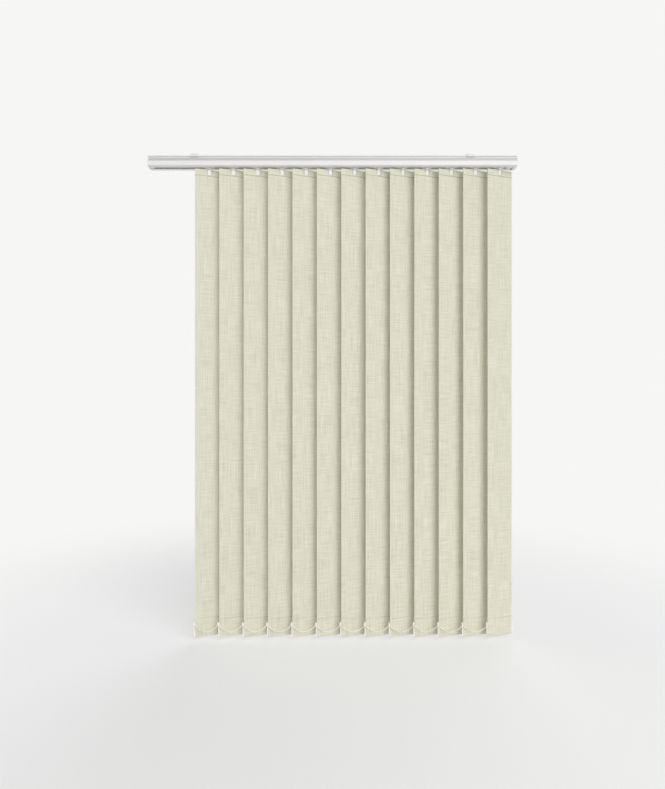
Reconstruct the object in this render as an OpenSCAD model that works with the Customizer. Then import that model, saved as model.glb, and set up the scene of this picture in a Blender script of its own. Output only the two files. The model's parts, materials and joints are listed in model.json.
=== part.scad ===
// Vertical blind: thirteen fabric vanes hung on carriers in a ceiling-fixed headrail,
// weighted at the foot and linked there by a bead chain at each edge.
// The origin is on the ceiling plane above the middle of the rail. X runs along the
// rail, -Y faces the room, +Y the window and +Z up. All lengths are in millimetres.

/* [Headrail] */
// Length of the rail with its two end pieces
blind_w = 1152; // [1140:1:1300]
// Height of the rail
rail_h = 33; // [33:0.5:38]
// Depth of the rail from the room to the window
rail_d = 38; // [38:0.5:44]
// Wall of the rail
rail_wall = 1.4; // [1:0.1:1.6]
// Height of the upper band, down to the rounded lower band
band_h = 16; // [15:0.5:17]
// How far the upper band stands back from the lower band
band_recess = 3; // [2.4:0.1:3.2]
// Height of the lip along each top edge
lip_h = 3.2; // [2.6:0.1:4]
// Corner radius of the lower band
bulge_r = 3.5; // [3:0.1:4.5]
// Width of the slot that the hooks hang through
slot_w = 9; // [8.8:0.1:14]
// Thickness of the end plate at the left of the rail
cap_t = 3; // [2:0.5:5]
// Length of the plug that holds an end piece in the rail
plug_l = 12; // [8:1:16]
// Corner radius of the left end plate
cap_r = 5; // [3:0.5:7]
// Length of the housing at the control end
control_l = 24; // [22:1:30]

/* [Brackets] */
// Room between the ceiling and the top of the rail
bracket_h = 4; // [4:0.5:12]
// Length of a bracket along the rail
bracket_l = 25; // [20:1:40]
// Thickness of the bracket's spring steel
bracket_t = 1.2; // [0.8:0.1:1.6]
// Distance between the two brackets' screws
bracket_pitch = 860; // [600:10:1000]
// Diameter of a bracket's screw hole
screw_d = 5; // [4:0.5:6]
// How far a bracket's claw reaches under the rail's lip
claw_l = 2; // [1.4:0.1:2.2]

/* [Vanes] */
// Distance between two vanes
vane_pitch = 76; // [72:1:78]
// Distance from the last vane's axis to the right end of the blind
vane_margin = 51; // [50:1:60]
// Width of a vane
vane_w = 89; // [84:1:92]
// Length of a vane from its top fold to its bottom fold
vane_l = 1463; // [800:1:2200]
// Gap between the rail and the vanes
vane_gap = 6; // [6:0.5:12]
// Angle of the vanes to the rail
tilt = 18; // [16:1:24]
// Thickness of the fabric
fabric_t = 0.6; // [0.4:0.05:0.7]
// Height of the pocket round the hanger
top_pocket = 20; // [18:1:28]
// Height of the pocket round the weight
foot_pocket = 57; // [45:1:70]
// Height over which a pocket narrows to its welded seam
seam_h = 5; // [4:0.5:6]
// Width of the welded strip below a seam
weld_h = 3; // [2:0.5:5]
// Width of the notch for the hook in the top fold
notch_w = 11.6; // [11:0.2:14]

/* [Hooks] */
// Diameter of the stem that turns in the carrier
stem_d = 7.8; // [6.4:0.1:8]
// Diameter of the toothed head over its teeth
head_d = 10.4; // [10:0.1:10.6]
// Height of the toothed head
head_h = 7; // [5:0.5:7.5]
// Number of teeth on the head
head_teeth = 10; // [8:1:12]
// Diameter of the collar below the rail
collar_d = 14; // [12:0.5:15]
// Height of the collar below the rail
collar_h = 4; // [3:0.5:4.5]
// Width of the bar that holds the hanger
bar_w = 9.6; // [6:0.2:10]
// Thickness of the bar that holds the hanger
bar_t = 4.4; // [3:0.2:5]
// Width of the hanger plate
hanger_w = 80; // [60:1:83]
// Thickness of the hanger plate
hanger_t = 1.4; // [1:0.1:1.6]

/* [Carriers] */
// Length of a carrier along the rail
carrier_l = 29; // [26:1:29]
// Height of a carrier's lower slab
slab_h = 9.3; // [9:0.1:10]
// Width of a spacer strip
strip_w = 8; // [6:0.5:8]
// Thickness of a spacer strip
strip_t = 0.4; // [0.3:0.05:0.5]
// How far a spacer strip reaches into the next carrier
strip_grip = 20; // [12:1:22]

/* [Tilt drive] */
// Diameter of the splined tilt rod
rod_d = 6; // [5:0.1:6.2]
// Distance of the tilt rod behind the hooks
rod_y = 8.5; // [8.5:0.1:8.8]
// Distance of the tilt rod below the top of the rail
rod_drop = 10.5; // [10:0.1:11]
// Diameter of the grooves along the tilt rod
spline_d = 1.2; // [0.8:0.1:1.4]
// Diameter of the rod's end in the chain wheel
rod_end_d = 4; // [3:0.2:4.4]
// Diameter of the chain wheel
wheel_d = 14; // [13.4:0.1:15]
// Width of the chain wheel
wheel_l = 8; // [7:0.5:9]
// Diameter of a ball of the operating chain
ball_d = 4.5; // [4:0.1:4.5]
// Number of ball pockets round the chain wheel
ball_pockets = 6; // [5:1:6]

/* [Weights and chains] */
// Thickness of a weight
weight_t = 2.4; // [2:0.1:3]
// How far a weight stands out past each edge of its vane
weight_reach = 3; // [2:0.1:3.4]
// Room above a weight in its pocket
weight_play = 6.5; // [0.5:0.1:8]
// Corner radius of a weight
weight_r = 4; // [2:0.5:6]
// Distance of an eyelet's middle past the end of its weight
eyelet_side = 1.7; // [1.5:0.1:2.2]
// Outer diameter of a chain eyelet
eyelet_d = 4.4; // [4:0.1:4.8]
// Bore of a chain eyelet
eyelet_bore = 2.3; // [2.2:0.1:2.6]
// Height of a chain eyelet
eyelet_h = 3; // [2:0.5:4]
// Diameter of a chain bead
bead_d = 3.6; // [3:0.1:3.7]
// Diameter of the neck where a bead meets the small link bead beside it
neck_d = 1; // [0.8:0.1:1.1]
// Number of beads from one weight to the next
loop_beads = 18; // [14:1:19]
// How far each loop of chain hangs down
chain_sag = 20; // [17:1:26]

/* [Clearances] */
// Clearance under and around a sliding carrier
slide_gap = 0.3; // [0.3:0.05:0.5]
// Clearance on each side of a carrier in the rail
side_gap = 0.5; // [0.4:0.05:0.7]
// Radial clearance of a shaft in its bearing
run_gap = 0.05; // [0.02:0.01:0.08]
// Clearance of a plug in the rail
fit_gap = 0.15; // [0.1:0.05:0.2]
// Clearance round a piece in a fabric pocket
pocket_gap = 0.2; // [0.15:0.05:0.3]
// Clearance round the tilt rod where it passes a carrier
rod_gap = 0.7; // [0.4:0.1:0.8]
// Clearance round a toothed head or a chain wheel
head_gap = 0.8; // [0.5:0.1:1]
// Clearance of a chain's bead or pin at an eyelet
chain_gap = 0.3; // [0.2:0.05:0.35]

/* [Hidden] */
$fn = 48;
VANES = 13;
SPACER_LANES = 4;

WHITE = [0.93, 0.93, 0.92];
RAIL_WHITE = [0.9, 0.9, 0.9];
STEEL = [0.8, 0.8, 0.8];
ALUMINIUM = [0.78, 0.79, 0.8];
FABRIC = [0.86, 0.855, 0.78];
IVORY = [0.94, 0.93, 0.87];

// Rail section, with heights measured from the ceiling
half_d = rail_d / 2;
rail_top = -bracket_h;
rail_foot = rail_top - rail_h;
bulge_top = rail_top - band_h;
lip_top = rail_foot + rail_wall;
band_half = half_d - band_recess;
lip_r = lip_h / 2 - 0.4;

// Ends of the rail
left_x = -blind_w / 2;
right_x = blind_w / 2;
rail_x0 = left_x + cap_t;
rail_x1 = right_x - control_l;

// Tilt rod and chain wheel
rod_z = rail_top - rod_drop;
rod_r = rod_d / 2;
rod_bore_r = rod_r + rod_gap;
ball_ring_r = wheel_d / 2 - 1.2;
wheel_x = right_x - control_l / 2;
bearing_x0 = rail_x0 + cap_t;
bearing_x1 = wheel_x - wheel_l / 2 - head_gap;

// Carriers
slab_half = half_d - rail_wall - side_gap;
block_half = band_half - rail_wall - side_gap;
slab_foot = lip_top + slide_gap;
slab_top = slab_foot + slab_h;
block_top = rod_z + rod_bore_r + 1.8;
head_foot = rod_z - head_h / 2;
strip_step = strip_t + 0.6;
strip_foot = slab_foot + 2.5;
strip_z = strip_foot + 0.5;
window_w = strip_w + 0.5;
window_h = SPACER_LANES * strip_step + 0.4;
window_y = -stem_d / 2 - 2.6 - window_w;

// Vanes, in a vane's own frame: u across it, v through it, z up
vane_top = rail_foot - vane_gap;
vane_foot = vane_top - vane_l;
weight_half = weight_t / 2;
sheet_v = -weight_half - pocket_gap - fabric_t;
flap_v = hanger_t / 2 + pocket_gap;
top_r = (flap_v + fabric_t - sheet_v) / 2;
foot_r = -sheet_v;
top_seam = vane_top - top_pocket;
foot_seam = vane_foot + foot_pocket;

// Hooks and hangers
collar_top = rail_foot - 1;
collar_foot = collar_top - collar_h;
hanger_top = vane_top - fabric_t - slide_gap;
hanger_foot = top_seam + seam_h + 0.1;
bar_foot = hanger_foot - 1;
notch_foot = bar_foot - 1;

// Weights and eyelets
weight_foot = vane_foot + foot_r;
weight_top = foot_seam - seam_h - weight_play;
weight_u = vane_w / 2 + weight_reach;
fabric_front = vane_w / 2 * sin(tilt) + foot_r * cos(tilt);
weight_front = weight_u * sin(tilt) + weight_half * cos(tilt);
chain_front = max(fabric_front, weight_front) + chain_gap + bead_d / 2;
eyelet_u = weight_u + eyelet_side;
eyelet_v = (chain_front - eyelet_u * sin(tilt)) / cos(tilt);
eyelet_z = weight_top - eyelet_h;

// Chains
bead_r = bead_d / 2;
pin_r = eyelet_bore / 2 - chain_gap;
knot_z = eyelet_z - chain_gap - bead_r;
catenary_a = catenary(vane_pitch / 8, vane_pitch * 8, 40);
loop_half = catenary_a * sinh(vane_pitch / 2 / catenary_a);
neck_r = neck_d / 2;
neck_reach = sqrt(bead_r * bead_r - neck_r * neck_r);
link_d = 2 * norm([loop_half / loop_beads - neck_reach, neck_r]);

function cosh(x) = (exp(x) + exp(-x)) / 2;
function sinh(x) = (exp(x) - exp(-x)) / 2;
function asinh(x) = ln(x + sqrt(x * x + 1));

// Catenary parameter that gives the sag over one vane pitch, by halving an interval
function catenary(low, high, steps) =
    let (mid = (low + high) / 2)
    let (drop = mid * (cosh(vane_pitch / 2 / mid) - 1))
    steps == 0 ? mid
    : drop > chain_sag ? catenary(mid, high, steps - 1)
    : catenary(low, mid, steps - 1);

// Place of bead i on a loop that starts at the origin, spaced evenly along the chain
function bead_at(i) =
    let (s = loop_half * (2 * i / loop_beads - 1))
    let (x = vane_pitch / 2 + catenary_a * asinh(s / catenary_a))
    [x, 0, sqrt(catenary_a * catenary_a + s * s) - catenary_a - chain_sag];

// Slope of the chain at bead i
function bead_slope(i) = loop_half * (2 * i / loop_beads - 1) / catenary_a;

// Place of vane k's axis along the rail, counted from 1 at the left
function axis_x(k) = right_x - vane_margin - vane_pitch * (VANES - k);

// Two digits, as the pieces of a set are numbered
function numbered(name, k) = str(name, k < 10 ? "_0" : "_", k);

// A section drawn with its width along Y and its height along Z, run from x0 to x1
module along_x(x0, x1) {
    translate([x0, 0, 0])
        rotate([90, 0, 90])
            linear_extrude(height = x1 - x0)
                children();
}

// Rectangle with round corners, between its low and high corners
module round_box(low, high, r) {
    w = high[0] - low[0];
    h = high[1] - low[1];
    translate([low[0] + r, low[1]])
        square([w - 2 * r, h]);
    translate([low[0], low[1] + r])
        square([w, h - 2 * r]);
    for (x = [low[0] + r, high[0] - r], y = [low[1] + r, high[1] - r])
        translate([x, y])
            circle(r = r);
}

// Rectangle from its low to its high corner
module box_2d(low, high) {
    translate(low)
        square(high - low);
}

// Cylinder along X round the tilt rod's line
module rod_cylinder(x0, x1, r) {
    translate([x0, rod_y, rod_z])
        rotate([0, 90, 0])
            cylinder(h = x1 - x0, r = r);
}

// Whatever belongs to vane k, moved from the vane's own frame
module at_vane(k) {
    translate([axis_x(k), 0, 0])
        rotate([0, 0, tilt])
            children();
}

// Outside of the rail: lips, recessed band and rounded lower band
module rail_outside() {
    box_2d([-band_half, bulge_top - bulge_r], [band_half, rail_top]);
    box_2d([-half_d + lip_h, rail_top - rail_wall], [half_d - lip_h, rail_top]);
    for (side = [-1, 1]) {
        lip_low = side < 0 ? -half_d : band_half - 0.5;
        round_box([lip_low, rail_top - lip_h], [lip_low + band_recess + 0.5, rail_top], lip_r);
    }
    round_box([-half_d, rail_foot], [half_d, bulge_top], bulge_r);
}

// Inside of the rail, drawn in by a clearance
module rail_inside(gap) {
    upper = band_half - rail_wall - gap;
    lower = half_d - rail_wall - gap;
    box_2d([-upper, lip_top + bulge_r], [upper, rail_top - rail_wall - gap]);
    round_box([-lower, lip_top + gap], [lower, bulge_top - rail_wall - gap], bulge_r - rail_wall);
}

module headrail() {
    color(RAIL_WHITE)
        along_x(rail_x0, rail_x1)
            difference() {
                rail_outside();
                rail_inside(0);
                box_2d([-slot_w / 2, rail_foot - 1], [slot_w / 2, lip_top + 1]);
            }
}

module left_end_cap() {
    plug_wall = 2;
    boss_r = rod_r + 2;
    color(WHITE)
        difference() {
            union() {
                along_x(left_x, rail_x0)
                    round_box([-half_d, rail_foot], [half_d, rail_top], cap_r);
                along_x(rail_x0 - 0.5, rail_x0 + plug_l)
                    difference() {
                        rail_inside(fit_gap);
                        rail_inside(fit_gap + plug_wall);
                    }
                rod_cylinder(rail_x0 - 0.5, rail_x0 + plug_l, boss_r);
            }
            rod_cylinder(bearing_x0 - 1, rail_x0 + plug_l + 1, rod_r + run_gap);
        }
}

module control_end_cap() {
    chamber_r = wheel_d / 2 + head_gap;
    chamber_half = wheel_l / 2 + head_gap;
    outlet_w = ball_d + 1.5;
    outlet_y0 = rod_y - ball_ring_r - outlet_w / 2;
    outlet_y1 = rod_y + ball_ring_r + outlet_w / 2;
    color(WHITE)
        difference() {
            union() {
                along_x(rail_x1, right_x) {
                    rail_outside();
                    round_box([0, bulge_top - bulge_r], [half_d, rail_top], lip_r);
                }
                along_x(rail_x1 - plug_l / 2, rail_x1 + 0.5)
                    rail_inside(fit_gap);
            }
            rod_cylinder(wheel_x - chamber_half, wheel_x + chamber_half, chamber_r);
            rod_cylinder(rail_x1 - plug_l, wheel_x, rod_r + run_gap);
            translate([wheel_x - outlet_w / 2, outlet_y0, rail_foot - 1])
                cube([outlet_w, outlet_y1 - outlet_y0, rod_z - rail_foot + 1]);
        }
}

// One spring clip, bent from a strip: a plate under the ceiling and two claws
module bracket() {
    claw_z = rail_top - lip_h;
    leg_y = half_d;
    difference() {
        along_x(-bracket_l / 2, bracket_l / 2) {
            box_2d([-leg_y - bracket_t, -bracket_t], [leg_y + bracket_t, 0]);
            for (side = [-1, 1]) {
                leg_low = side < 0 ? -leg_y - bracket_t : leg_y;
                claw_low = side < 0 ? -leg_y - bracket_t : leg_y - claw_l;
                box_2d([leg_low, claw_z - bracket_t], [leg_low + bracket_t, 0]);
                box_2d([claw_low, claw_z - bracket_t], [claw_low + claw_l + bracket_t, claw_z]);
            }
        }
        translate([0, 0, -bracket_t - 1])
            cylinder(h = bracket_t + 2, d = screw_d);
    }
}

module mounting_brackets() {
    color(STEEL)
        for (x = [-bracket_pitch / 2, bracket_pitch / 2])
            translate([x, 0, 0])
                bracket();
}

module tilt_rod() {
    spline_x0 = rail_x0 + plug_l + 2;
    spline_x1 = rail_x1 - plug_l / 2 - 2;
    color(ALUMINIUM) {
        difference() {
            rod_cylinder(bearing_x0, bearing_x1, rod_r);
            for (turn = [0:120:240])
                translate([spline_x0, rod_y, rod_z])
                    rotate([turn, 0, 0])
                        translate([0, 0, rod_r])
                            rotate([0, 90, 0])
                                cylinder(h = spline_x1 - spline_x0, d = spline_d);
        }
        rod_cylinder(bearing_x1 - 1, wheel_x + wheel_l / 2, rod_end_d / 2);
    }
}

// Wheel of the operating chain: two rims with a row of ball pockets between them
module chain_wheel() {
    color(WHITE)
        difference() {
            rod_cylinder(wheel_x - wheel_l / 2, wheel_x + wheel_l / 2, wheel_d / 2);
            rod_cylinder(wheel_x - wheel_l, wheel_x + wheel_l, rod_end_d / 2);
            for (i = [0:ball_pockets - 1])
                translate([wheel_x, rod_y, rod_z])
                    rotate([360 / ball_pockets * i, 0, 0])
                        translate([0, 0, ball_ring_r])
                            sphere(d = ball_d);
        }
}

// Carrier k: runs on the rail's lips, holds the hook's head and passes the tilt rod.
// From the second on it carries the spacer strip that draws it after its neighbour.
module carrier(k) {
    x = axis_x(k);
    x0 = x - carrier_l / 2;
    x1 = x + carrier_l / 2;
    color(WHITE)
        union() {
            difference() {
                along_x(x0, x1) {
                    round_box([-slab_half, slab_foot], [slab_half, slab_top], bulge_r - rail_wall);
                    box_2d([-block_half, slab_top - 2], [block_half, block_top]);
                }
                translate([x, 0, slab_foot - 1])
                    cylinder(h = head_foot - slab_foot + 2, d = stem_d + 2 * run_gap);
                translate([x, 0, head_foot - pocket_gap])
                    cylinder(h = block_top - head_foot + 1, r = head_d / 2 + head_gap);
                rod_cylinder(x0 - 1, x1 + 1, rod_bore_r);
                translate([x0 - 1, window_y, strip_foot])
                    cube([carrier_l + 2, window_w, window_h]);
            }
            if (k > 1)
                spacer_strip(k);
        }
}

// Spacer strip of carrier k, in one of four lanes so that the strips nest in a stack
module spacer_strip(k) {
    x = axis_x(k);
    x0 = x - vane_pitch + carrier_l / 2 - strip_grip;
    z = strip_z + strip_step * (k % SPACER_LANES);
    edge = (window_w - strip_w) / 2;
    translate([x0, window_y + edge, z])
        cube([x - x0, strip_w, strip_t]);
    translate([x - carrier_l / 2 + 1, window_y - edge, z])
        cube([carrier_l - 2, window_w + 2 * edge, strip_t]);
}

// Hook of vane k: toothed head, stem, collar, bar and hanger plate, moulded in one
module hook(k) {
    tooth_w = head_d * 0.15;
    color(WHITE)
        at_vane(k) {
            translate([0, 0, head_foot])
                linear_extrude(height = head_h)
                    union() {
                        circle(d = head_d - 1.8);
                        for (i = [0:head_teeth - 1])
                            rotate(360 / head_teeth * i)
                                translate([0, -tooth_w / 2])
                                    square([head_d / 2, tooth_w]);
                    }
            translate([0, 0, collar_foot])
                cylinder(h = head_foot - collar_foot + 1, d = stem_d);
            translate([0, 0, collar_foot])
                cylinder(h = collar_h, d = collar_d);
            translate([-bar_w / 2, -bar_t / 2, bar_foot])
                cube([bar_w, bar_t, collar_foot - bar_foot + 1]);
            translate([-hanger_w / 2, -hanger_t / 2, hanger_foot])
                cube([hanger_w, hanger_t, hanger_top - hanger_foot]);
        }
}

// Section of a vane: a straight sheet, folded back at both ends into a welded pocket
module vane_section() {
    top_mid = sheet_v + top_r;
    top_fold = vane_top - top_r;
    foot_fold = vane_foot + foot_r;
    inner_v = sheet_v + fabric_t;
    flap_back = flap_v + fabric_t;
    weld_v = inner_v + fabric_t;
    difference() {
        union() {
            polygon([
                [sheet_v, foot_fold], [foot_r, foot_fold], [foot_r, foot_seam - seam_h],
                [weld_v, foot_seam], [weld_v, foot_seam + weld_h], [inner_v, foot_seam + weld_h],
                [inner_v, top_seam - weld_h], [weld_v, top_seam - weld_h], [weld_v, top_seam],
                [flap_back, top_seam + seam_h], [flap_back, top_fold], [sheet_v, top_fold]
            ]);
            translate([top_mid, top_fold])
                circle(r = top_r);
            translate([0, foot_fold])
                circle(r = foot_r);
        }
        translate([top_mid, top_fold])
            circle(r = top_r - fabric_t);
        polygon([
            [inner_v, top_fold], [flap_v, top_fold],
            [flap_v, top_seam + seam_h], [inner_v, top_seam]
        ]);
        translate([0, foot_fold])
            circle(r = foot_r - fabric_t);
        polygon([
            [inner_v, foot_fold], [-inner_v, foot_fold],
            [-inner_v, foot_seam - seam_h], [inner_v, foot_seam]
        ]);
    }
}

module vane(k) {
    color(FABRIC)
        at_vane(k)
            difference() {
                along_x(-vane_w / 2, vane_w / 2)
                    vane_section();
                translate([-notch_w / 2, -foot_r - 1, notch_foot])
                    cube([notch_w, 2 * foot_r + 2, vane_top - notch_foot + 1]);
            }
}

// Eyelet beside a weight's edge, with its neck, seen from above
module eyelet_outline() {
    root_u = vane_w / 2 + pocket_gap;
    difference() {
        union() {
            translate([eyelet_u, eyelet_v])
                circle(d = eyelet_d);
            polygon([
                [root_u, -weight_half], [eyelet_u, -weight_half],
                [eyelet_u + eyelet_d / 2, eyelet_v], [eyelet_u - eyelet_d / 2, eyelet_v],
                [root_u, weight_half]
            ]);
        }
        translate([eyelet_u, eyelet_v])
            circle(d = eyelet_bore);
    }
}

// Weight of vane k, with an eyelet for the front chain and one for the back chain
module weight(k) {
    color(WHITE)
        at_vane(k) {
            rotate([90, 0, 0])
                linear_extrude(height = weight_t, center = true)
                    round_box([-weight_u, weight_foot], [weight_u, weight_top], weight_r);
            for (turn = [0, 180])
                rotate([0, 0, turn])
                    translate([0, 0, eyelet_z])
                        linear_extrude(height = eyelet_h)
                            eyelet_outline();
        }
}

// Ball of a chain. Its poles lie along Y, and its moulding seam points down, or along X
// where the chain is steep, so that its neighbours never meet either.
module bead(place, d, steep = false) {
    translate(place)
        rotate([90, steep ? 0 : 90, 0])
            sphere(d = d);
}

// Bead chain through one row of eyelets: a pin between two beads at each weight and
// a hanging loop of beads and smaller link beads from each weight to the next.
// side is -1 at the front, 1 at the back.
module bead_chain(side) {
    u = side * eyelet_u;
    v = side * eyelet_v;
    reach = [u * cos(tilt) - v * sin(tilt), u * sin(tilt) + v * cos(tilt), knot_z];
    head_z = eyelet_h + 2 * chain_gap + bead_d;
    color(IVORY)
        union() {
            for (k = [1:VANES])
                translate(reach + [axis_x(k), 0, 0]) {
                    bead([0, 0, 0], bead_d);
                    cylinder(h = head_z, r = pin_r);
                    translate([0, 0, head_z])
                        sphere(d = bead_d);
                }
            for (k = [1:VANES - 1])
                translate(reach + [axis_x(k), 0, 0]) {
                    for (i = [1:loop_beads - 1])
                        bead(bead_at(i), bead_d);
                    for (i = [0:loop_beads - 1])
                        bead(bead_at(i + 0.5), link_d, abs(bead_slope(i + 0.5)) > 1);
                }
        }
}

module front_chain() {
    bead_chain(-1);
}

module back_chain() {
    bead_chain(1);
}

headrail();
left_end_cap();
control_end_cap();
mounting_brackets();
tilt_rod();
chain_wheel();
front_chain();
back_chain();
for (k = [1:VANES]) {
    carrier(k);
    hook(k);
    vane(k);
    weight(k);
}
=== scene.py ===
# %% [markdown]
# # A vertical blind in linen-look fabric
# Thirteen fabric vanes hang side by side from a white headrail. Each one is a strip of
# woven polyester, folded and welded into a pocket round its hanger at the top and round
# its weight at the foot. Bead chains link the weights at both edges.
#
# The rail, hooks, weights and inner works come from the construction model and only get
# a finish here. The cloth and the chains are made anew, because cloth needs a real fold
# and a weave, and a chain has to bunch up when the vanes are drawn aside.

# %% Load the frame
import json

import bpy
import numpy as np
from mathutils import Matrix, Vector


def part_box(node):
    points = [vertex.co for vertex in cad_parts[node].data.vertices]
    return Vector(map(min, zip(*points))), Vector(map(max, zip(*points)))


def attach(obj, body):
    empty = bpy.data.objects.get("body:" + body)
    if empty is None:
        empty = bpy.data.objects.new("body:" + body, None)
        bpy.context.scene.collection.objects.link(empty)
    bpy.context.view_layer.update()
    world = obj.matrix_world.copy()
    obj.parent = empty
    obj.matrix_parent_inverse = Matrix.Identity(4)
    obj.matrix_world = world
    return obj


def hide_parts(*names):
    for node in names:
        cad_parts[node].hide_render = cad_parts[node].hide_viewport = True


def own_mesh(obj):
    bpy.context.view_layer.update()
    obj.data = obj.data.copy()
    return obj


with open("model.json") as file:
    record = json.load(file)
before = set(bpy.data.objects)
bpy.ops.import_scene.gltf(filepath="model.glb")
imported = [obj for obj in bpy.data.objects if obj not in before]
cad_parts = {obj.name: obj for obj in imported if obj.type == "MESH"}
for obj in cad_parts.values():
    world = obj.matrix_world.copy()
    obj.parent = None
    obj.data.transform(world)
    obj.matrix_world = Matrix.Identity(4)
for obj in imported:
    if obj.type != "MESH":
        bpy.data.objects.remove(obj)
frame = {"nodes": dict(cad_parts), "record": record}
nodes = frame["nodes"]
joints = {joint["name"]: joint for joint in frame["record"]["behaviour"]["joints"]}
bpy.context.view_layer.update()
MM = 0.001

# %% [markdown]
# ## The camera
# The rail and all the vane edges stay parallel to the picture's edges, so the camera
# looks straight along +Y with no turn. The near vane edges run from one known height to
# another, and their picture positions give the horizon and the focal length. The small
# lens shift puts that horizon where the picture has it.

# %% Camera
PICTURE_H = 789
NEAR_TOP_PX = 168.0
NEAR_FOOT_PX = 637.5
CAMERA_DISTANCE = 1.7
SENSOR = 36.0

vane_low, vane_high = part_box("vane_01")
vane_foot, vane_top = vane_low[2], vane_high[2]
horizon_px = (NEAR_TOP_PX + NEAR_FOOT_PX) / 2
near_distance = CAMERA_DISTANCE + vane_low[1]
focal_px = (NEAR_FOOT_PX - NEAR_TOP_PX) * near_distance / (vane_top - vane_foot)

camera_data = bpy.data.cameras.new("camera")
camera_data.sensor_width = SENSOR
camera_data.lens = focal_px * SENSOR / PICTURE_H
camera_data.shift_y = (horizon_px - PICTURE_H / 2) / PICTURE_H
camera_data.dof.use_dof = False
camera = bpy.data.objects.new("camera", camera_data)
camera.location = (0.0, -CAMERA_DISTANCE, (vane_top + vane_foot) / 2)
camera.rotation_euler = (np.pi / 2, 0.0, 0.0)
bpy.context.scene.collection.objects.link(camera)
bpy.context.scene.camera = camera
print("lens", round(camera_data.lens, 2), "shift", round(camera_data.shift_y, 4))

# %% [markdown]
# ## Helpers for colour and nodes
# Colours are written as the eye reads them, as sRGB hex. Shaders count light, so one
# function turns the hex value to linear. A second function adds any node: settings are
# keywords, and each input is either a value or another node's output to link. A third
# function starts a material with only a shader in it.

# %% Colour and node helpers
def linear(hex_colour):
    """Linear RGBA of an sRGB hex colour: each channel goes through the sRGB curve."""
    srgb = np.array([int(hex_colour[i:i + 2], 16) for i in (1, 3, 5)]) / 255
    rgb = np.where(srgb <= 0.04045, srgb / 12.92, ((srgb + 0.055) / 1.055) ** 2.4)
    return (*rgb.tolist(), 1.0)


def add(tree, kind, inputs=None, **settings):
    """Adds a node, applies its settings, and sets or links each named or numbered input."""
    node = tree.nodes.new(kind)
    for name, value in settings.items():
        setattr(node, name, value)
    for key, value in (inputs or {}).items():
        if isinstance(value, bpy.types.NodeSocket):
            tree.links.new(value, node.inputs[key])
        else:
            node.inputs[key].default_value = value
    return node


def new_material(name):
    """A material with one plain shader: the material itself, its node tree and the shader."""
    material = bpy.data.materials.new(name)
    material.use_nodes = True
    tree = material.node_tree
    tree.nodes.clear()
    shader = add(tree, "ShaderNodeBsdfPrincipled")
    add(tree, "ShaderNodeOutputMaterial", {"Surface": shader.outputs["BSDF"]})
    return material, tree, shader


print("white is", [round(c, 3) for c in linear("#FFFFFF")])

# %% [markdown]
# ## Floor and light
# A pale floor lies just below the vanes and fades into a white surround, so no horizon
# shows. The main light comes from the right of the viewer: the near edge of each vane then
# shades the far edge of the vane beside it, which is what makes the row of vanes readable.
# A sun lamp with a wide angle is used, because a near lamp would light one end of the
# row more than the other. The surround fills the shadows a little, so they stay deep, and
# a weaker lamp behind the blind keeps its back readable.

# %% Floor
FLOOR_GAP = 14 * MM
FLOOR_REACH = 40.0
FADE_START = 0.5
FADE_END = 2.2
FADE_LEAST = 0.5
SURROUND = "#F6F6F5"
FLOOR_PAINT = "#EFEEEC"

floor_z = vane_foot - FLOOR_GAP
floor_mesh = bpy.data.meshes.new("floor")
corners = np.array([[-1, -1, 0], [1, -1, 0], [1, 1, 0], [-1, 1, 0]]) * FLOOR_REACH
corners[:, 2] = floor_z
floor_mesh.from_pydata(corners.tolist(), [], [(0, 1, 2, 3)])
floor = bpy.data.objects.new("floor", floor_mesh)
bpy.context.scene.collection.objects.link(floor)

floor_paint = bpy.data.materials.new("matt_studio_floor")
floor_paint.use_nodes = True
tree = floor_paint.node_tree
tree.nodes.clear()
place = add(tree, "ShaderNodeTexCoord")
flat = add(tree, "ShaderNodeVectorMath", {
    0: place.outputs["Object"], 1: (1, 1, 0)}, operation="MULTIPLY")
distance = add(tree, "ShaderNodeVectorMath", {0: flat.outputs["Vector"]}, operation="LENGTH")
fade = add(tree, "ShaderNodeMapRange", {
    "Value": distance.outputs["Value"], "From Min": FADE_START, "From Max": FADE_END,
    "To Min": FADE_LEAST,
}, interpolation_type="SMOOTHSTEP")
ray = add(tree, "ShaderNodeLightPath")
seen = add(tree, "ShaderNodeMath", {
    0: ray.outputs["Is Camera Ray"], 1: ray.outputs["Is Glossy Ray"]}, operation="MAXIMUM")
fade_seen = add(tree, "ShaderNodeMath", {
    0: fade.outputs["Result"], 1: seen.outputs["Value"]}, operation="MULTIPLY")
matt = add(tree, "ShaderNodeBsdfDiffuse", {"Color": linear(FLOOR_PAINT)})
glow = add(tree, "ShaderNodeEmission", {"Color": linear(SURROUND), "Strength": 1.0})
surface = add(tree, "ShaderNodeMixShader", {
    0: fade_seen.outputs["Value"], 1: matt.outputs["BSDF"], 2: glow.outputs["Emission"]})
add(tree, "ShaderNodeOutputMaterial", {"Surface": surface.outputs["Shader"]})
floor_mesh.materials.append(floor_paint)
print("floor at", round(float(floor_z), 4))

# %% Light
FILL_COLOUR = "#EEF4FF"
FILL_STRENGTH = 0.26
KEY_STRENGTH = 2.14
KEY_SIDE = np.radians(31)
KEY_HEIGHT = np.radians(30)
KEY_WIDTH = np.radians(56)
BACK_STRENGTH = 1.6
BACK_WIDTH = np.radians(60)

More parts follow.
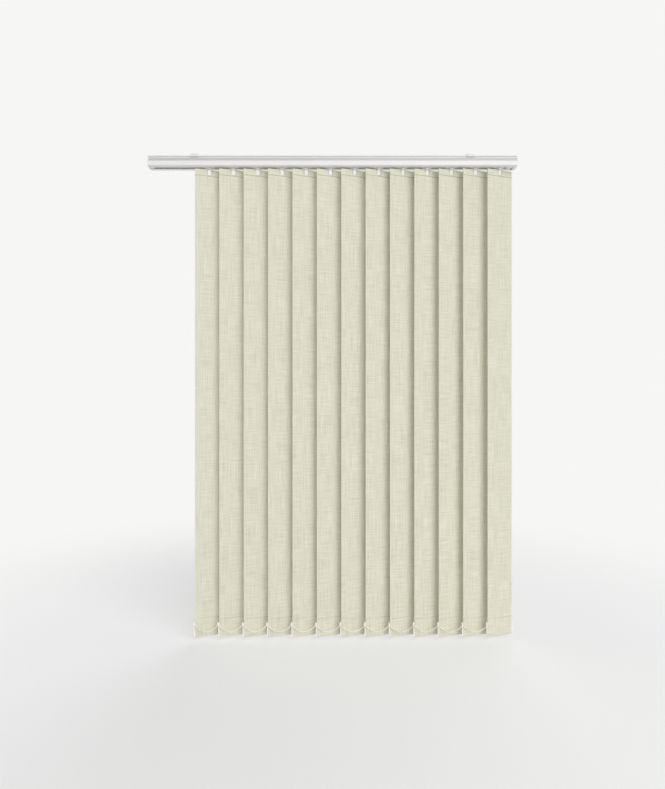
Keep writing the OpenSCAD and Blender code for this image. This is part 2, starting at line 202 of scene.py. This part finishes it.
world = bpy.data.worlds.new("surround")
bpy.context.scene.world = world
world.use_nodes = True
tree = world.node_tree
tree.nodes.clear()
ray = add(tree, "ShaderNodeLightPath")
seen = add(tree, "ShaderNodeMath", {
    0: ray.outputs["Is Camera Ray"], 1: ray.outputs["Is Glossy Ray"]}, operation="MAXIMUM")
fill = add(tree, "ShaderNodeBackground", {
    "Color": linear(FILL_COLOUR), "Strength": FILL_STRENGTH})
sky = add(tree, "ShaderNodeBackground", {"Color": linear(SURROUND), "Strength": 1.0})
surface = add(tree, "ShaderNodeMixShader", {
    0: seen.outputs["Value"], 1: fill.outputs["Background"], 2: sky.outputs["Background"]})
add(tree, "ShaderNodeOutputWorld", {"Surface": surface.outputs["Shader"]})


def soft_sun(name, side, height, strength, width):
    """A wide sun, angles in radians: side turns it to the viewer's right, height lifts it."""
    data = bpy.data.lights.new(name, "SUN")
    data.energy = strength
    data.angle = width
    lamp = bpy.data.objects.new(name, data)
    lamp.rotation_euler = (np.pi / 2 - height, 0.0, side)
    bpy.context.scene.collection.objects.link(lamp)
    return lamp


soft_sun("soft_key", KEY_SIDE, KEY_HEIGHT, KEY_STRENGTH, KEY_WIDTH)
soft_sun("soft_back", np.pi - KEY_SIDE, KEY_HEIGHT, BACK_STRENGTH, BACK_WIDTH)
bpy.context.scene.view_settings.view_transform = "Standard"
print("fill", FILL_STRENGTH, "key", KEY_STRENGTH, "back", BACK_STRENGTH)

# %% [markdown]
# ## Linen-look polyester
# Vertical blind fabric is a plain weave of slub yarn: some threads swell for a few
# centimetres and then thin out again, along and across the strip. The eye reads that as
# short pale and dark streaks in both directions. The pattern follows the cloth's own UV
# map, laid out in metres, so it stays with the fabric over the folds. A slub yarn is about
# half a millimetre thick, which is finer than the picture shows, so the streaks here
# are drawn as two or three threads together.

# %% Linen-look polyester
WEFT_SLUB = (55 * MM, 2.4 * MM)
WARP_SLUB = (2.8 * MM, 90 * MM)
TONE_PATCH = (34 * MM, 46 * MM)
THREAD_PITCH = 1.3 * MM
WAVE_PERIOD = 2 * np.pi / 20
PATCH_WEIGHT = 0.25
TONE_RANGE = (0.75, 1.5)
DARK_YARN = "#CECBB6"
MIDDLE_YARN = "#DBD9C5"
PALE_YARN = "#E6E4D1"
# The weld colour is partly the weld line itself and partly painted shade of the crease at the
# pocket's edge.
WELD_AND_PAINTED_SHADE = "#98906C"
# The edge colour is a painted highlight along the cut edges of each vane.
EDGE_PAINTED_HIGHLIGHT = "#F0EFE0"
WELD_SHADE_SHARE = 0.8
EDGE_HIGHLIGHT_SHARE = 0.55
WEAVE_RELIEF = 0.35 * MM


def streaks(tree, uv, size, detail):
    """Noise stretched to streaks of size, width by height in metres, on the cloth."""
    scaled = add(tree, "ShaderNodeMapping", {
        "Vector": uv, "Scale": (1 / size[0], 1 / size[1], 1.0)})
    return add(tree, "ShaderNodeTexNoise", {
        "Vector": scaled.outputs["Vector"], "Scale": 1.0, "Detail": detail, "Roughness": 0.6,
    }, noise_dimensions="2D").outputs["Fac"]


def linen_look_polyester():
    """Matt slub weave, paler on the swollen yarns, darker on the weld lines with painted shade,
    and a painted highlight on the cut edges.
    """
    material, tree, shader = new_material("linen_look_polyester")
    uv = add(tree, "ShaderNodeTexCoord").outputs["UV"]
    weft = streaks(tree, uv, WEFT_SLUB, 2.0)
    warp = streaks(tree, uv, WARP_SLUB, 2.0)
    patch = streaks(tree, uv, TONE_PATCH, 3.0)
    yarns = add(tree, "ShaderNodeMath", {0: weft, 1: warp}, operation="ADD")
    tone = add(tree, "ShaderNodeMath", {
        0: patch, 1: PATCH_WEIGHT, 2: yarns.outputs["Value"]}, operation="MULTIPLY_ADD")
    spread = add(tree, "ShaderNodeMapRange", {
        "Value": tone.outputs["Value"], "From Min": TONE_RANGE[0], "From Max": TONE_RANGE[1]})
    ramp = add(tree, "ShaderNodeValToRGB", {"Fac": spread.outputs["Result"]})
    ramp.color_ramp.elements[0].color = linear(DARK_YARN)
    ramp.color_ramp.elements[1].color = linear(PALE_YARN)
    middle = ramp.color_ramp.elements.new(0.5)
    middle.color = linear(MIDDLE_YARN)

    # Weld lines get the darker weld colour: partly the weld, partly painted shade of the pocket's
    # crease.
    seam = add(tree, "ShaderNodeAttribute", attribute_name="seam").outputs["Fac"]
    # Along the cut edges the cloth is lightened: a painted highlight.
    edge = add(tree, "ShaderNodeAttribute", attribute_name="edge").outputs["Fac"]
    seam_share = add(tree, "ShaderNodeMath", {0: seam, 1: WELD_SHADE_SHARE}, operation="MULTIPLY")
    edge_share = add(tree, "ShaderNodeMath", {0: edge, 1: EDGE_HIGHLIGHT_SHARE}, operation="MULTIPLY")
    shaded_weld = add(tree, "ShaderNodeMix", {
        0: seam_share.outputs["Value"], 6: ramp.outputs["Color"], 7: linear(WELD_AND_PAINTED_SHADE),
    }, data_type="RGBA")
    highlighted = add(tree, "ShaderNodeMix", {
        0: edge_share.outputs["Value"], 6: shaded_weld.outputs[2], 7: linear(EDGE_PAINTED_HIGHLIGHT),
    }, data_type="RGBA")
    tree.links.new(highlighted.outputs[2], shader.inputs["Base Color"])

    across = add(tree, "ShaderNodeTexWave", {
        "Vector": uv, "Scale": WAVE_PERIOD / THREAD_PITCH, "Distortion": 0.4, "Detail": 1.0,
    }, bands_direction="X")
    along = add(tree, "ShaderNodeTexWave", {
        "Vector": uv, "Scale": WAVE_PERIOD / THREAD_PITCH, "Distortion": 0.4, "Detail": 1.0,
    }, bands_direction="Y")
    weave = add(tree, "ShaderNodeMath", {
        0: across.outputs["Fac"], 1: along.outputs["Fac"]}, operation="MULTIPLY")
    relief = add(tree, "ShaderNodeMath", {
        0: weave.outputs["Value"], 1: yarns.outputs["Value"]}, operation="ADD")
    bump = add(tree, "ShaderNodeBump", {
        "Height": relief.outputs["Value"], "Strength": 0.35, "Distance": WEAVE_RELIEF})
    tree.links.new(bump.outputs["Normal"], shader.inputs["Normal"])
    shader.inputs["Roughness"].default_value = 0.92
    shader.inputs["Specular IOR Level"].default_value = 0.25
    shader.inputs["Sheen Weight"].default_value = 0.12
    shader.inputs["Sheen Roughness"].default_value = 0.5
    return material


fabric = linen_look_polyester()
print("thread pitch", THREAD_PITCH / MM, "mm")

# %% [markdown]
# ## The fabric vanes
# A vane is one long strip of cloth. Seen from the side it starts at the weld behind the
# top pocket, goes up and over the hanger, straight down the front, under the weight and
# up to the weld of the foot pocket. That side view is a line with a length, so the strip
# is made as this line carried across the width, and the cloth is never stretched. A notch
# in the top fold lets the hook through. The thickness comes last, from a Solidify.

# %% Vane sizes
VANES = 13
TILT = np.radians(18.0)
VANE_W = 89 * MM
CLOTH = 0.6 * MM
TOP_POCKET = 20 * MM
FOOT_POCKET = 57 * MM
SEAM_H = 5 * MM
WELD_H = 3 * MM
NOTCH_W = 11.6 * MM
NOTCH_ABOVE_SEAM = 3.1 * MM
SHEET_V = -1.7 * MM
FLAP_V = 1.2 * MM
SELVEDGE = 1.6 * MM
SEAM_LINE = 1.5 * MM
# Shares of the weld line's colour, partly painted shade, on the foot seam and at the cloth's raw
# ends.
FOOT_LINE_SHARE = 0.45
RAW_END_SHARE = 0.6
RIPPLE = (0.7 * MM, 0.8 * MM, 0.4 * MM)
RIPPLE_TURN = 9
PATTERN_SHIFT = (0.31, 0.17)
FOLD_POINTS = 10

top_seam = vane_top - TOP_POCKET
foot_seam = vane_foot + FOOT_POCKET
top_r = (FLAP_V - SHEET_V) / 2
foot_r = -SHEET_V
top_fold = vane_top - CLOTH / 2 - top_r
foot_fold = vane_foot + CLOTH / 2 + foot_r
notch_foot = top_seam + NOTCH_ABOVE_SEAM


# %% Vane side view
def stretch(start, end, count):
    """count points on the straight line from start, with end left for the next stretch."""
    share = np.linspace(0, 1, count, endpoint=False)[:, None]
    return np.array(start) * (1 - share) + np.array(end) * share


def half_turn(centre, radius, first, last, count):
    """count points on the arc round centre from angle first, with the last left out."""
    angle = np.linspace(first, last, count, endpoint=False)
    return np.stack([centre[0] + radius * np.cos(angle), centre[1] + radius * np.sin(angle)], 1)


def vane_line():
    """The cloth's middle line seen from the side: its (depth, height) points in order."""
    weld_v = SHEET_V + CLOTH
    notch_v = weld_v + (FLAP_V - weld_v) * NOTCH_ABOVE_SEAM / SEAM_H
    sheet = [top_fold, notch_foot, top_seam + SEAM_LINE, top_seam, top_seam - SEAM_LINE,
             foot_seam + SEAM_LINE, foot_seam, foot_seam - SEAM_LINE, foot_fold]
    counts = [4, 2, 1, 1, 70, 1, 1, 12]
    front = [stretch((SHEET_V, a), (SHEET_V, b), n)
             for a, b, n in zip(sheet[:-1], sheet[1:], counts)]
    return np.concatenate([
        stretch((weld_v, top_seam - WELD_H), (weld_v, top_seam), 2),
        stretch((weld_v, top_seam), (notch_v, notch_foot), 2),
        stretch((notch_v, notch_foot), (FLAP_V, top_seam + SEAM_H), 2),
        stretch((FLAP_V, top_seam + SEAM_H), (FLAP_V, top_fold), 4),
        half_turn((SHEET_V + top_r, top_fold), top_r, 0, np.pi, FOLD_POINTS),
        *front,
        half_turn((0.0, foot_fold), foot_r, np.pi, 2 * np.pi, FOLD_POINTS),
        stretch((foot_r, foot_fold), (foot_r, foot_seam - SEAM_H), 10),
        stretch((foot_r, foot_seam - SEAM_H), (weld_v, foot_seam), 3),
        stretch((weld_v, foot_seam), (weld_v, foot_seam + WELD_H), 2),
        [[weld_v, foot_seam + WELD_H]],
    ])


line = vane_line()
step = np.linalg.norm(np.diff(line, axis=0), axis=1)
along_cloth = np.concatenate([[0], np.cumsum(step)])


# %% Vane cloth
def vane_columns():
    """Places across the width, closer at the edges and with lines on the notch's sides."""
    half = VANE_W / 2
    side = np.linspace(NOTCH_W / 2, half - SELVEDGE, 9)
    right = np.concatenate([side, [half - SELVEDGE / 2, half]])
    return np.concatenate([-right[::-1], [0.0], right])


def vane_ripple(across, height, seed):
    """A slow bow and twist of hanging cloth, in metres: none at the pockets, most between."""
    rng = np.random.default_rng(seed)
    bow, twist, wave = rng.uniform(-1, 1, 3) * RIPPLE
    phase = rng.uniform(0, 2 * np.pi)
    share = np.clip((height - foot_seam) / (top_seam - foot_seam), 0, 1)
    hang = np.sin(np.pi * share)
    reach = across / (VANE_W / 2)
    curl = wave * np.sin(RIPPLE_TURN * share + phase) * reach
    return hang * (bow * (1 - reach ** 2) + twist * reach + curl)


def vane_cloth(number):
    """One vane: its side line carried across the width, less the notch for its hook."""
    name = f"vane_{number:02d}"
    u = vane_columns()
    across, depth = np.meshgrid(u, line[:, 0])
    height = np.meshgrid(u, line[:, 1])[1]
    travel = np.meshgrid(u, along_cloth)[1]
    depth = depth + vane_ripple(across, height, number)

    axis = np.array(joints[f"tilt {number:02d}"]["pos_m"])
    x = axis[0] + across * np.cos(TILT) - depth * np.sin(TILT)
    y = axis[1] + across * np.sin(TILT) + depth * np.cos(TILT)
    points = np.stack([x, y, height], 2).reshape(-1, 3)

    rows, columns = across.shape
    first = np.arange(rows * columns).reshape(rows, columns)
    quads = np.stack([first[:-1, :-1], first[1:, :-1], first[1:, 1:], first[:-1, 1:]], 2)
    mid_u = (u[:-1] + u[1:]) / 2
    mid_z = (line[:-1, 1] + line[1:, 1]) / 2
    in_notch = (mid_z > notch_foot)[:, None] & (np.abs(mid_u) < NOTCH_W / 2)[None, :]
    faces = quads[~in_notch]

    mesh = bpy.data.meshes.new(name + "_cloth")
    mesh.from_pydata(points.tolist(), [], faces.tolist())
    mesh.polygons.foreach_set("use_smooth", np.ones(len(faces), bool))
    corner = np.empty(len(mesh.loops), np.int32)
    mesh.loops.foreach_get("vertex_index", corner)
    uv = np.stack([across.ravel(), travel.ravel()], 1) + np.array(PATTERN_SHIFT) * number
    mesh.uv_layers.new(name="cloth").data.foreach_set("uv", uv[corner].ravel())

    # The weld lines on the front and the raw ends get the weld colour, which is partly painted
    # shade of the pocket's crease.
    on_front = np.isclose(line[:, 0], SHEET_V) & (line[:, 1] < notch_foot)
    top_line = np.isclose(line[:, 1], top_seam)
    foot_line = np.isclose(line[:, 1], foot_seam)
    shaded_weld = on_front * (top_line + FOOT_LINE_SHARE * foot_line)
    shaded_weld[[0, -1]] = RAW_END_SHARE
    seam = np.repeat(shaded_weld, columns)
    # The outermost columns carry a painted highlight along the cut edges.
    edge = np.tile((np.abs(u) > VANE_W / 2 - 0.75 * SELVEDGE).astype(float), rows)
    for label, values in (("seam", seam), ("edge", edge)):
        mesh.attributes.new(label, "FLOAT", "POINT").data.foreach_set("value", values)
    mesh.materials.append(fabric)

    piece = bpy.data.objects.new(name + "_cloth", mesh)
    bpy.context.scene.collection.objects.link(piece)
    solidify = piece.modifiers.new("thickness", "SOLIDIFY")
    solidify.thickness = CLOTH
    solidify.offset = 0.0
    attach(piece, f"vane {number:02d}")
    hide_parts(name)
    return piece


vanes = [vane_cloth(number) for number in range(1, VANES + 1)]
print("vanes", len(vanes), "quads each", len(vanes[0].data.polygons))

# %% [markdown]
# ## Glossy acetal
# The bottom chain is moulded onto a polyester core in acetal, an ivory-white plastic
# with a soft natural gloss. Each bead comes from a small mould, so its tone hardly
# varies: a little cloudiness and a faint moulding grain is all that shows.

# %% Moulded plastics
PLASTIC_CLOUD = 25 * MM


def moulded_plastic(name, colour, shade, roughness, grain):
    """Moulded plastic: a little cloudy in tone, with a fine spark-eroded grain, in metres."""
    material, tree, shader = new_material(name)
    place = add(tree, "ShaderNodeTexCoord").outputs["Object"]
    cloud = add(tree, "ShaderNodeTexNoise", {
        "Vector": place, "Scale": 1 / PLASTIC_CLOUD, "Detail": 2.0})
    tone = add(tree, "ShaderNodeMix", {
        0: cloud.outputs["Fac"], 6: linear(shade), 7: linear(colour)}, data_type="RGBA")
    tree.links.new(tone.outputs[2], shader.inputs["Base Color"])
    speck = add(tree, "ShaderNodeTexNoise", {
        "Vector": place, "Scale": 1 / grain, "Detail": 2.0})
    gloss = add(tree, "ShaderNodeMapRange", {
        "Value": speck.outputs["Fac"], "To Min": roughness - 0.06, "To Max": roughness + 0.06})
    tree.links.new(gloss.outputs["Result"], shader.inputs["Roughness"])
    bump = add(tree, "ShaderNodeBump", {
        "Height": speck.outputs["Fac"], "Strength": 0.12, "Distance": 0.05 * MM})
    tree.links.new(bump.outputs["Normal"], shader.inputs["Normal"])
    shader.inputs["IOR"].default_value = 1.48
    return material


chain_acetal = moulded_plastic("ivory_acetal", "#FAF9F0", "#F5F3E8", 0.30, 0.8 * MM)
print("chain of", chain_acetal.name)

# %% [markdown]
# ## The bead chains
# A chain runs through the eyelets at one edge of the weights. From one weight to the next
# it hangs in a catenary, the curve of any free chain, with beads at equal distances along
# that curve and a smaller link bead in each gap. At each eyelet a short pin with a bead
# above and below passes through the ring. One ball worked out once and copied to every
# place as an array is enough for all of them. When the vanes are drawn to one side the
# loops close up, so the whole chain is squashed along the rail towards the vane that never
# moves. When the vanes are turned over, each loop comes to lie against the edge of a vane
# beside its own knot. A loose chain gives way there. This one is stiff, so its loops lean
# out a few millimetres before that knot, and clear the edge at every angle.

# %% Chain sizes
PITCH = 76 * MM
BEAD_R = 1.8 * MM
NECK_R = 0.5 * MM
PIN_R = 0.85 * MM
CHAIN_GAP = 0.3 * MM
EYELET_H = 3 * MM
CHAIN_SAG = 20 * MM
LOOP_LEAN = 5.5 * MM
LEAN_AT = [0.0, 0.15, 0.82, 0.985, 1.0]
LEAN_SHARE = [0.0, 0.0, 1.0, 1.0, 0.0]
LOOP_BEADS = 18
BEAD_SIDES = 8
BEAD_RINGS = 6
HALVINGS = 60
CURVE_POINTS = 2001


def catenary_size():
    """The catenary's a, where a (cosh(pitch / 2a) - 1) is the sag, by halving an interval."""
    low, high = PITCH / 8, PITCH * 8
    for _ in range(HALVINGS):
        middle = (low + high) / 2
        too_deep = middle * (np.cosh(PITCH / 2 / middle) - 1) > CHAIN_SAG
        low, high = (middle, high) if too_deep else (low, middle)
    return middle


def loop_curve():
    """One loop as a fine line: height a cosh(x / a) less its value at the knots, and out to the
    side by a share of the lean that grows along the loop and is gone at both knots."""
    a = catenary_size()
    x = np.linspace(-PITCH / 2, PITCH / 2, CURVE_POINTS)
    z = a * (np.cosh(x / a) - np.cosh(PITCH / 2 / a))
    y = -LOOP_LEAN * np.interp(x / PITCH + 0.5, LEAN_AT, LEAN_SHARE)
    return np.stack([x, y, z], 1)


curve = loop_curve()
along_loop = np.concatenate([[0], np.cumsum(np.linalg.norm(np.diff(curve, axis=0), axis=1))])
loop_length = float(along_loop[-1])
link_r = np.hypot(loop_length / LOOP_BEADS / 2 - np.sqrt(BEAD_R ** 2 - NECK_R ** 2), NECK_R)
print("length of one chain loop", round(loop_length / MM, 1), "mm")


# %% Balls and pins
def ball():
    """A unit sphere from the angle round and the angle down: sine and cosine of both."""
    down = np.linspace(0, np.pi, BEAD_RINGS + 1)[1:-1]
    turn = np.linspace(0, 2 * np.pi, BEAD_SIDES, endpoint=False)
    rings = np.stack([np.outer(np.sin(down), np.cos(turn)), np.outer(np.sin(down), np.sin(turn)),
                      np.outer(np.cos(down), np.ones(BEAD_SIDES))], 2).reshape(-1, 3)
    points = np.concatenate([rings, [[0, 0, 1], [0, 0, -1]]])
    first = np.arange(len(rings)).reshape(-1, BEAD_SIDES)
    beside = np.roll(first, -1, axis=1)
    quads = np.stack([first[:-1], first[1:], beside[1:], beside[:-1]], 2).reshape(-1, 4)
    pole = np.full(BEAD_SIDES, len(rings))
    top = np.stack([pole, first[0], beside[0]], 1)
    foot = np.stack([pole + 1, beside[-1], first[-1]], 1)
    return points, [quads, np.concatenate([top, foot])]


def pin():
    """A closed unit rod along Z from the angle round: a ring at height 0 and one at 1."""
    turn = np.linspace(0, 2 * np.pi, BEAD_SIDES, endpoint=False)
    ring = np.stack([np.cos(turn), np.sin(turn), np.zeros(BEAD_SIDES)], 1)
    low = np.arange(BEAD_SIDES)
    beside = np.roll(low, -1)
    sides = np.stack([low, beside, beside + BEAD_SIDES, low + BEAD_SIDES], 1)
    ends = np.stack([low[::-1], low + BEAD_SIDES])
    return np.concatenate([ring, ring + [0, 0, 1]]), [sides, ends]


def copies(shape, size, places):
    """The shape times size, added to every place: each copy's corners count on from the last."""
    points, blocks = shape
    every = places[:, None] + np.asarray(size) * points[None]
    count = np.arange(len(places))[:, None, None] * len(points)
    moved = [(block[None] + count).reshape(-1, block.shape[1]) for block in blocks]
    return every.reshape(-1, 3), moved


def joined(*shapes):
    """Several shapes as one: points in a row, and faces moved on by the points before them."""
    before = np.cumsum([0] + [len(points) for points, _ in shapes])
    points = np.concatenate([points for points, _ in shapes])
    faces = [face for (_, blocks), start in zip(shapes, before)
             for block in blocks for face in (block + start).tolist()]
    return points, faces


print("faces of one bead", sum(len(block) for block in ball()[1]))


# %% Front and back chain
def on_loop(steps, turn):
    """Places on a loop at equal lengths of its curve, steps counting beads from one knot. Turn
    is 1, or -1 for the loop turned half round, as on the other side of the vanes."""
    wanted = loop_length * steps / LOOP_BEADS
    x, y, z = [np.interp(wanted, along_loop, column) for column in curve.T]
    return np.stack([PITCH / 2 + turn * x, turn * y, z], 1)


def bead_chain(name, turn):
    """A whole chain: loops of beads and links between the knots, and a pin up from each knot."""
    pivot = np.array(joints[name + " link"]["pos_m"])
    knots = pivot - [0, 0, CHAIN_GAP + BEAD_R] + np.outer(np.arange(1 - VANES, 1), [PITCH, 0, 0])
    pin_h = EYELET_H + 2 * CHAIN_GAP + 2 * BEAD_R
    loop_beads = knots[:-1, None] + on_loop(np.arange(1.0, LOOP_BEADS), turn)[None]
    links = knots[:-1, None] + on_loop(np.arange(LOOP_BEADS) + 0.5, turn)[None]
    beads = np.concatenate([loop_beads.reshape(-1, 3), knots, knots + [0, 0, pin_h]])
    points, faces = joined(
        copies(ball(), BEAD_R, beads),
        copies(ball(), link_r, links.reshape(-1, 3)),
        copies(pin(), (PIN_R, PIN_R, pin_h), knots),
    )

    label = name.replace(" ", "_")
    mesh = bpy.data.meshes.new(label + "_beads")
    mesh.from_pydata(points.tolist(), [], faces)
    mesh.polygons.foreach_set("use_smooth", np.ones(len(faces), bool))
    mesh.materials.append(chain_acetal)
    piece = bpy.data.objects.new(label + "_beads", mesh)
    bpy.context.scene.collection.objects.link(piece)
    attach(piece, name)
    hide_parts(label)
    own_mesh(piece)
    print(name, "beads", len(beads), "faces", len(faces))


bead_chain("front chain", 1)
bead_chain("back chain", -1)

# %% [markdown]
# ## Finishes of the rail and its fittings
# The rail is extruded aluminium with a baked powder coat, which has a soft gloss and a
# very fine orange-peel skin. The coat is white. Above the rounded lower band, the recessed
# band carries painted shade in light grey, brightened by painted light just below the lip,
# and the control end's cap takes the same coat with the same painted shade. The other cap,
# the hooks and the weights are moulded plastics, the brackets enamelled spring steel, and the
# rod bare anodised aluminium with the fine lines that drawing leaves along it.

# %% Coated metals
# The band height sets where the painted shade starts; the lip heights set where the painted light
# over it starts and ends.
RAIL_BAND_H = 16 * MM
SPLIT_BELOW = 0.5 * MM
SPLIT_ABOVE = 0.3 * MM
LIP_LIGHT_START = 9 * MM
LIP_LIGHT_FULL = 4.5 * MM
COAT_CLOUD = 60 * MM
rail_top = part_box("headrail")[1][2]
rail_split = rail_top - RAIL_BAND_H


def coated_metal(name, colour, shade, roughness, peel, painted_shade_grey=None, lip_painted_light=None):
    """A baked coat with an orange-peel skin of size peel. With the two tones given, what lies
    above the rail's split height gets painted shade in the grey one, brightened by painted
    light towards the lip's tone just below the lip."""
    material, tree, shader = new_material(name)
    place = add(tree, "ShaderNodeTexCoord").outputs["Object"]
    cloud = add(tree, "ShaderNodeTexNoise", {
        "Vector": place, "Scale": 1 / COAT_CLOUD, "Detail": 2.0})
    tone = add(tree, "ShaderNodeMix", {
        0: cloud.outputs["Fac"], 6: linear(shade), 7: linear(colour)}, data_type="RGBA")
    # Above the split the coat gets painted shade in grey, and just below the lip painted light
    # that brightens it back towards the lip's tone.
    if painted_shade_grey:
        height = add(tree, "ShaderNodeSeparateXYZ", {"Vector": place}).outputs["Z"]
        in_painted_shade = add(tree, "ShaderNodeMapRange", {
            "Value": height, "From Min": rail_split - SPLIT_BELOW,
            "From Max": rail_split + SPLIT_ABOVE})
        painted_light_climb = add(tree, "ShaderNodeMapRange", {
            "Value": height, "From Min": rail_top - LIP_LIGHT_START, "From Max": rail_top - LIP_LIGHT_FULL})
        painted_shade_tone = add(tree, "ShaderNodeMix", {
            0: painted_light_climb.outputs["Result"], 6: linear(painted_shade_grey), 7: linear(lip_painted_light)}, data_type="RGBA")
        tone = add(tree, "ShaderNodeMix", {
            0: in_painted_shade.outputs["Result"], 6: tone.outputs[2], 7: painted_shade_tone.outputs[2]}, data_type="RGBA")
    tree.links.new(tone.outputs[2], shader.inputs["Base Color"])
    skin = add(tree, "ShaderNodeTexNoise", {
        "Vector": place, "Scale": 1 / peel, "Detail": 1.0})
    gloss = add(tree, "ShaderNodeMapRange", {
        "Value": skin.outputs["Fac"], "To Min": roughness - 0.03, "To Max": roughness + 0.03})
    tree.links.new(gloss.outputs["Result"], shader.inputs["Roughness"])
    bump = add(tree, "ShaderNodeBump", {
        "Height": skin.outputs["Fac"], "Strength": 0.05, "Distance": 0.05 * MM})
    tree.links.new(bump.outputs["Normal"], shader.inputs["Normal"])
    shader.inputs["IOR"].default_value = 1.5
    return material


print("rail tone changes at", round(float(rail_split), 4))


# %% Drawn aluminium
LINE_LENGTH = 80 * MM


def drawn_aluminium(name, colour, shade, line_pitch):
    """Bare anodised metal with fine lines along X, line_pitch apart, from drawing."""
    material, tree, shader = new_material(name)
    place = add(tree, "ShaderNodeTexCoord").outputs["Object"]
    lines = add(tree, "ShaderNodeMapping", {
        "Vector": place, "Scale": (1 / LINE_LENGTH, 1 / line_pitch, 1 / line_pitch)})
    grain = add(tree, "ShaderNodeTexNoise", {
        "Vector": lines.outputs["Vector"], "Scale": 1.0, "Detail": 2.0})
    tone = add(tree, "ShaderNodeMix", {
        0: grain.outputs["Fac"], 6: linear(shade), 7: linear(colour)}, data_type="RGBA")
    tree.links.new(tone.outputs[2], shader.inputs["Base Color"])
    gloss = add(tree, "ShaderNodeMapRange", {
        "Value": grain.outputs["Fac"], "To Min": 0.28, "To Max": 0.42})
    tree.links.new(gloss.outputs["Result"], shader.inputs["Roughness"])
    shader.inputs["Metallic"].default_value = 1.0
    return material


print("lines from drawing", LINE_LENGTH / MM, "mm long")

# %% Finish every piece of the frame
# The grey band of the rail coat is painted shade on the recess, and the lip tone over it is
# painted light; the control end's cap gets the same.
rail_coat = coated_metal("powder_coated_aluminium", "#EEEDEA", "#E9E8E5", 0.38, 1.2 * MM,
                         painted_shade_grey="#C2C1BF", lip_painted_light="#EEEDEA")
finishes = {
    "headrail": rail_coat,
    "control_end_cap": rail_coat,
    "mounting_brackets": coated_metal(
        "enamelled_spring_steel", "#E4E4E4", "#DCDCDC", 0.34, 0.9 * MM),
    "tilt_rod": drawn_aluminium("anodised_aluminium", "#D6D8DA", "#BFC2C5", 0.35 * MM),
    "weight": moulded_plastic("filled_white_pvc", "#F8F7F2", "#F2F1EB", 0.45, 1.0 * MM),
    "carrier": moulded_plastic("natural_nylon", "#ECEBE4", "#E3E2DA", 0.48, 1.0 * MM),
    "fitting": moulded_plastic("white_abs", "#F3F2EF", "#EDECE9", 0.40, 0.9 * MM),
}


def finish_of(node_name):
    """The finish of a node: its own, its set's, or the white plastic of the fittings."""
    family = node_name.rsplit("_", 1)[0]
    return finishes.get(node_name, finishes.get(family, finishes["fitting"]))


finished = 0
for node_name, piece in nodes.items():
    if piece.hide_render:
        continue
    piece.data.materials.clear()
    piece.data.materials.append(finish_of(node_name))
    finished += 1
print("finished nodes", finished)
